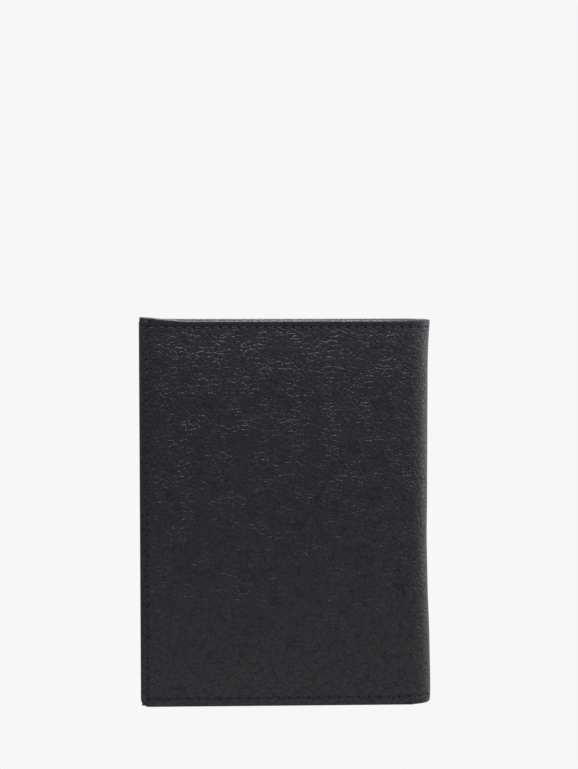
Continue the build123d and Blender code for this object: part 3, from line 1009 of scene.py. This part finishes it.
# The needle holes get a near-black finish: painted shade inside the holes
holeShadeFinish = plainNoiseMaterial("needleHoleShade", (0.002, 0.002, 0.004, 1), (0.004, 0.004, 0.008, 1),
                                900, 0.02 * mm, 0.9, 0.1)
paintFinish = plainNoiseMaterial("edgePaint", (0.010, 0.008, 0.009, 1), (0.016, 0.013, 0.014, 1),
                                 700, 0.03 * mm, 0.38)
boardFinish = plainNoiseMaterial("stiffenerBoard", (0.18, 0.16, 0.13, 1), (0.30, 0.27, 0.23, 1),
                                 1500, 0.03 * mm, 0.9, 0.2)
panelFinish = plainNoiseMaterial("smoothHide", (0.014, 0.014, 0.018, 1), (0.022, 0.022, 0.026, 1),
                                 1600, 0.05 * mm, 0.42)
paintOver(hidePieces, hideFinish)
paintOver(threadPieces, threadFinish)
paintOver(slitPieces, holeShadeFinish)
paintOver(liningPieces, liningFinish)
paintOver(paintPieces, paintFinish)
paintOver(panelPieces, hideFinish)
paintOver(boardPieces, boardFinish)
for half in ("rear", "front"):
    paintNodes([half + "_bill_divider", half + "_low_pocket"], panelFinish)
    paintNodes([f"{half}_card_pocket_{k}" for k in (1, 2, 3)], panelFinish)
    paintNodes([half + "_stack_seam", half + "_pocket_base_seams"], threadFinish)
print("materials assigned")

# Floor, light and camera
stage = {
    "pale": 0.93,               # as the camera sees it
    "radius": 2.6,
    "rim": 0.7,
    "wall": 3.0,
    "behind": 1.1,              # glow on the object from each side
    "front": 0.03,
    "right": 1.2,
    "left": 1.1,
    "near": 0.40,
    "around": 0.10,
}
lights = {
    # name: place, aim, size across and down, watts, colour
    "edge": ((0.002, 0.035, height + 0.075), (0.002, -0.004, height), (0.08, 0.03), 0.14, (1.0, 0.98, 0.95)),
    "overhead": ((0.01, -0.030, height + 0.065), (0.01, 0.0, height / 2), (0.26, 0.04), 0.28,
                 (1.0, 0.98, 0.95)),
    "high": ((-0.04, -0.13, 0.60), (0.0, 0.0, 0.05), (0.12, 0.08), 0.45, (1.0, 0.99, 0.97)),
    "right": ((0.30, 0.02, 0.09), (0.045, 0.0, 0.065), (0.14, 0.24), 0.22, (1.0, 0.98, 0.96)),
}


def paleShader(material, nodes, links, output):
    # Seen directly it is an even pale grey, with a faint painted contact shadow where it meets the object. On
    # the object
    # it glows by direction: the greater of behind, right and left, plus a glow close by.
    path = addNode(nodes, "ShaderNodeLightPath")
    seen = addNode(nodes, "ShaderNodeEmission")
    seen.inputs["Color"].default_value = (1, 1, 1, 1)
    # painted contact shadow: the camera-seen floor is dimmed a little close to the object
    contactShadow = addNode(nodes, "ShaderNodeAmbientOcclusion", samples=8)
    contactShadow.inputs["Distance"].default_value = 0.012
    soft = rangeNode(nodes, links, contactShadow.outputs["AO"], 0.0, 1.0, stage["pale"] * 0.985, stage["pale"])
    links.new(soft, seen.inputs["Strength"])
    place = addNode(nodes, "ShaderNodeTexCoord")
    parts = addNode(nodes, "ShaderNodeSeparateXYZ")
    links.new(place.outputs["Object"], parts.inputs[0])
    behind = rangeNode(nodes, links, parts.outputs["Y"], -0.6, 0.7, stage["front"], stage["behind"])
    right = rangeNode(nodes, links, parts.outputs["X"], 0.0, 0.7, 0.0, stage["right"])
    length = addNode(nodes, "ShaderNodeVectorMath", operation="LENGTH")
    links.new(place.outputs["Object"], length.inputs[0])
    near = rangeNode(nodes, links, length.outputs["Value"], 0.02, 0.7, stage["near"], 0.0)
    left = rangeNode(nodes, links, parts.outputs["X"], -0.9, -0.05, stage["left"], 0.0)
    sides = mathNode(nodes, links, "MAXIMUM", right, left)
    glow = mathNode(nodes, links, "ADD", mathNode(nodes, links, "MAXIMUM", behind, sides), near)
    glowing = addNode(nodes, "ShaderNodeEmission")
    glowing.inputs["Color"].default_value = (1, 1, 1, 1)
    links.new(glow, glowing.inputs["Strength"])
    mix = addNode(nodes, "ShaderNodeMixShader")
    links.new(path.outputs["Is Camera Ray"], mix.inputs[0])
    links.new(glowing.outputs[0], mix.inputs[1])
    links.new(seen.outputs[0], mix.inputs[2])
    links.new(mix.outputs[0], output.inputs["Surface"])


def makeStage():
    # A flat floor whose rim curves up into a bowl: radius and height follow a quarter circle
    rim = stage["rim"]
    bend = np.linspace(0, np.pi / 2, 16)
    reach = np.concatenate([[0.0, 0.3, 1.0], stage["radius"] - rim + rim * np.sin(bend), [stage["radius"]]])
    level = np.concatenate([[0.0, 0.0, 0.0], rim - rim * np.cos(bend), [stage["wall"]]])
    phi = np.linspace(0, 2 * np.pi, 72, endpoint=False)
    points = np.stack(np.broadcast_arrays(reach[1:, None] * np.cos(phi), reach[1:, None] * np.sin(phi),
                                          level[1:, None] - hair), -1)
    rows, around = points.shape[:2]
    faces = tubeFaces(1, around, rows, flip=True)[:-1]
    floor = makePiece("paleFloor", points, faces, sharpAngle=80)
    material = bpy.data.materials.new("paleFloor")
    material.use_nodes = True
    nodes, links = material.node_tree.nodes, material.node_tree.links
    nodes.remove(nodes["Principled BSDF"])
    paleShader(material, nodes, links, nodes["Material Output"])
    floor.data.materials.append(material)
    world = bpy.data.worlds.new("softRoom")
    bpy.context.scene.world = world
    world.use_nodes = True
    nodes, links = world.node_tree.nodes, world.node_tree.links
    path = addNode(nodes, "ShaderNodeLightPath")
    dim = nodes["Background"]
    dim.inputs["Color"].default_value = (1, 1, 1, 1)
    seen = rangeNode(nodes, links, path.outputs["Is Camera Ray"], 0.0, 1.0, stage["around"], stage["pale"])
    links.new(seen, dim.inputs["Strength"])


def makeLights():
    # Area lights, each turned from its place to its aim
    for name, (place, aim, size, watts, color) in lights.items():
        data = bpy.data.lights.new(name, "AREA")
        data.shape = "RECTANGLE"
        data.size, data.size_y = size
        data.energy = watts
        data.color = color
        lamp = bpy.data.objects.new(name, data)
        bpy.context.collection.objects.link(lamp)
        lamp.location = place
        away = np.array(place) - np.array(aim)
        lamp.rotation_euler = Vector(away).to_track_quat("Z", "Y").to_euler()
        lamp.visible_camera = False


view = {"place": (-0.027, -0.707, 0.165), "aim": (0.0014, 0.0, 0.1090), "lens": 98.1}


def makeCamera():
    # Stands at its place and looks at its aim
    data = bpy.data.cameras.new("studioCamera")
    data.lens = view["lens"]
    camera = bpy.data.objects.new("studioCamera", data)
    bpy.context.collection.objects.link(camera)
    camera.location = view["place"]
    away = Vector(view["place"]) - Vector(view["aim"])
    camera.rotation_euler = away.to_track_quat("Z", "Y").to_euler()
    bpy.context.scene.camera = camera


makeStage()
makeLights()
makeCamera()
bpy.context.scene.view_settings.view_transform = "Standard"
print("stage, lights and camera placed")
